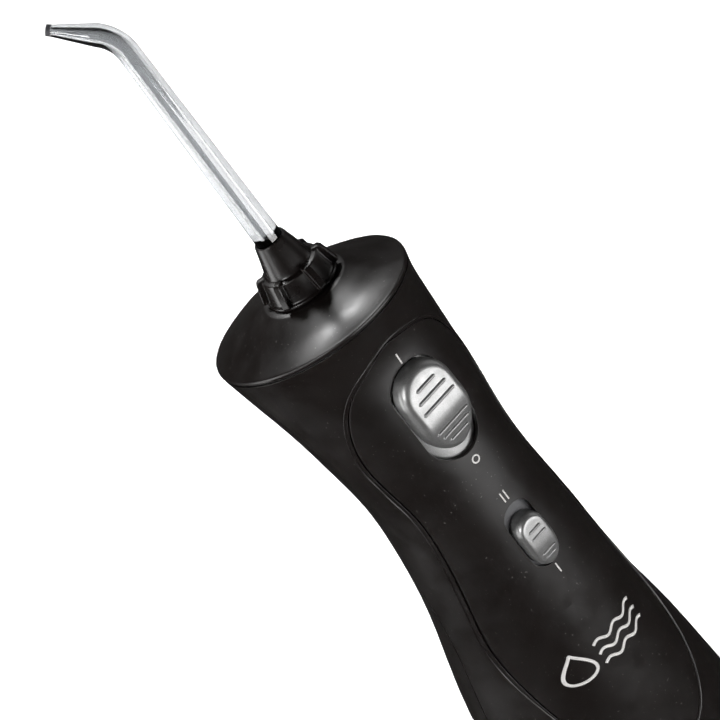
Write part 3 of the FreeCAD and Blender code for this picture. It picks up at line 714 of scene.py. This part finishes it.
def print_on(name, node, strokes, look, body):
    """Lays ribbons on a CAD node's front surface as thin printed ink."""
    read = caster(node)
    corners, faces = [], []
    for pairs, closed in strokes:
        start = len(corners)
        for pair in pairs:
            corners += [(p.x, read(p.x, p.y) - INK_OVER, p.y) for p in pair]
        spans = len(pairs) if closed else len(pairs) - 1
        for i in range(spans):
            a, b = start + 2 * i, start + 2 * ((i + 1) % len(pairs))
            faces.append((a, b, b + 1, a + 1))
    piece = add_piece(name, corners, faces, look, body)
    thicken = piece.modifiers.new("ink", "SOLIDIFY")
    thicken.thickness = INK_THICK * MM
    thicken.offset = 0.0


def line(x0, z0, x1, z1, steps=8):
    return [(x0 + (x1 - x0) * i / steps, z0 + (z1 - z0) * i / steps) for i in range(steps + 1)]


def ring(x, z, radius, steps=32):
    return [(x + radius * math.cos(t), z + radius * math.sin(t)) for t in turns(steps)]


def drop(x, z, size, steps=48):
    """A water drop's outline, point upwards."""
    points = []
    for t in turns(steps):
        points.append((x + 0.62 * size * math.sin(t) * math.sin(t / 2) ** 1.5,
                       z + size * math.cos(t) * 0.5))
    return points


def wave(x, z, length, height, turns, steps=60):
    return [(x + length * i / steps, z + height * math.sin(2 * math.pi * turns * i / steps))
            for i in range(steps + 1)]


def make_prints():
    """Switch marks and a plain water sign, printed on the front cover."""
    ink = printed("mark_ink", (0.42, 0.41, 0.40))
    marks = {
        "mark_on": [stroke(line(0, 181.5, 0, 184.8), 0.40)],
        "mark_off": [stroke(ring(0, 148.9, 0.98), 0.42, True)],
        "mark_high": [stroke(line(x, 134.1, x, 137.1), 0.38) for x in (-0.6, 0.6)],
        "mark_low": [stroke(line(0, 108.3, 0, 111.3), 0.38)],
    }
    waves = [stroke(wave(-5.0, z, 16.0, 0.75, 2.5), 0.85) for z in (85.2, 81.9, 78.6)]
    marks["water_sign"] = [stroke(drop(-11.2, 82.2, 9.4), 0.85, True)] + waves
    for name, strokes in marks.items():
        print_on(name, "front_cover", strokes, ink, "handle")


# ---- studio ------------------------------------------------------------------------------

def area(name, place, target, size, radiance):
    """A soft box of size (across, high) metres, seen by the object and not by the camera."""
    data = bpy.data.lights.new(name, "AREA")
    data.shape = "RECTANGLE"
    data.size, data.size_y = size
    data.energy = radiance * math.pi * size[0] * size[1]
    lamp = bpy.data.objects.new(name, data)
    bpy.context.scene.collection.objects.link(lamp)
    lamp.location = place
    lamp.rotation_mode = "QUATERNION"
    lamp.rotation_quaternion = (Vector(target) - Vector(place)).to_track_quat("-Z", "Y")
    lamp.visible_camera = False
    return lamp


FLOOR_HALF = 8.0
WALL_R, WALL_TOP, WALL_SIDES = 7.9, 9.0, 96


def stage_piece(name, corners, faces, look):
    """A mesh of the studio, in metres, that isn't part of the object."""
    mesh = bpy.data.meshes.new(name)
    mesh.from_pydata(corners, [], faces)
    mesh.materials.append(look.material)
    thing = bpy.data.objects.new(name, mesh)
    bpy.context.scene.collection.objects.link(thing)
    thing.visible_glossy = False
    return thing


def make_floor():
    """A plain pale floor that the object's gloss doesn't mirror."""
    look = Look("floor")
    look.drive("Base Color", look.mix(look.noise(400.0), (0.90, 0.90, 0.89), (0.93, 0.93, 0.93)))
    look.drive("Roughness", look.spread(look.noise(60.0), 0.7, 0.85))
    look.drive("Normal", look.bump(look.noise(2.0), 0.02))
    signs = ((-1, -1), (1, -1), (1, 1), (-1, 1))
    corners = [(FLOOR_HALF * x, FLOOR_HALF * y, 0) for x, y in signs]
    return stage_piece("floor", corners, [(0, 1, 2, 3)], look)


def make_backdrop():
    """A pale wall far round the object, seen behind it and lighting nothing."""
    look = Look("backdrop")
    tone = look.mix(look.noise(900.0), (0.94, 0.94, 0.94), (0.96, 0.96, 0.96))
    glow = look.node("ShaderNodeEmission")
    look.link(tone, glow.inputs["Color"])
    look.link(glow.outputs["Emission"], look.tree.nodes["Material Output"].inputs["Surface"])
    rings = [[(WALL_R * math.cos(t), WALL_R * math.sin(t), z) for t in turns(WALL_SIDES)]
             for z in (-0.01, WALL_TOP)]
    corners, faces = skin(rings, close_ends=False)
    wall = stage_piece("backdrop", corners, faces, look)
    wall.visible_diffuse = False
    wall.visible_transmission = False
    wall.visible_shadow = False


def light_only(lamp, thing):
    """Keeps a lamp's light on one object."""
    group = bpy.data.collections.new(lamp.name + "_target")
    group.objects.link(thing)
    lamp.light_linking.receiver_collection = group


def make_studio():
    """Soft boxes round the object, and a wide light of its own for the floor."""
    floor = make_floor()
    make_backdrop()
    head = (0.0, 0.0, 0.15)
    light_only(area("floor_light", (0.0, 0.0, 3.0), (0.0, 0.0, 0.0), (16.0, 16.0), 0.85), floor)
    area("front_low", (0.08, -0.38, 0.05), (0.0, 0.0, 0.14), (0.44, 0.10), 10.0)
    area("left_back", (-0.95, 0.60, 0.20), head, (0.5, 0.9), 4.0)
    area("dome_band", (0.20, 0.62, 1.05), (0.0, 0.0, 0.19), (0.40, 0.22), 34.0)
    area("left_high", (-0.85, -0.30, 0.65), head, (0.32, 0.32), 18.0)
    area("left_low", (-0.85, -0.02, 0.12), head, (0.25, 0.35), 4.0)
    area("right_side", (1.1, -0.1, 0.5), head, (0.4, 0.8), 1.2)
    world = bpy.data.worlds.new("studio")
    world.use_nodes = True
    background = world.node_tree.nodes["Background"]
    background.inputs["Color"].default_value = (0.5, 0.49, 0.48, 1.0)
    background.inputs["Strength"].default_value = 0.05
    bpy.context.scene.world = world
    bpy.context.scene.view_settings.view_transform = "Standard"


make_camera()
looks = make_looks()
dress_nodes(looks)
make_power_pad(looks)
make_pressure_pad(looks)
make_knob(looks)
make_tip(looks)
make_cap(looks)
make_bead(looks)
make_prints()
make_studio()

bpy.context.view_layer.update()
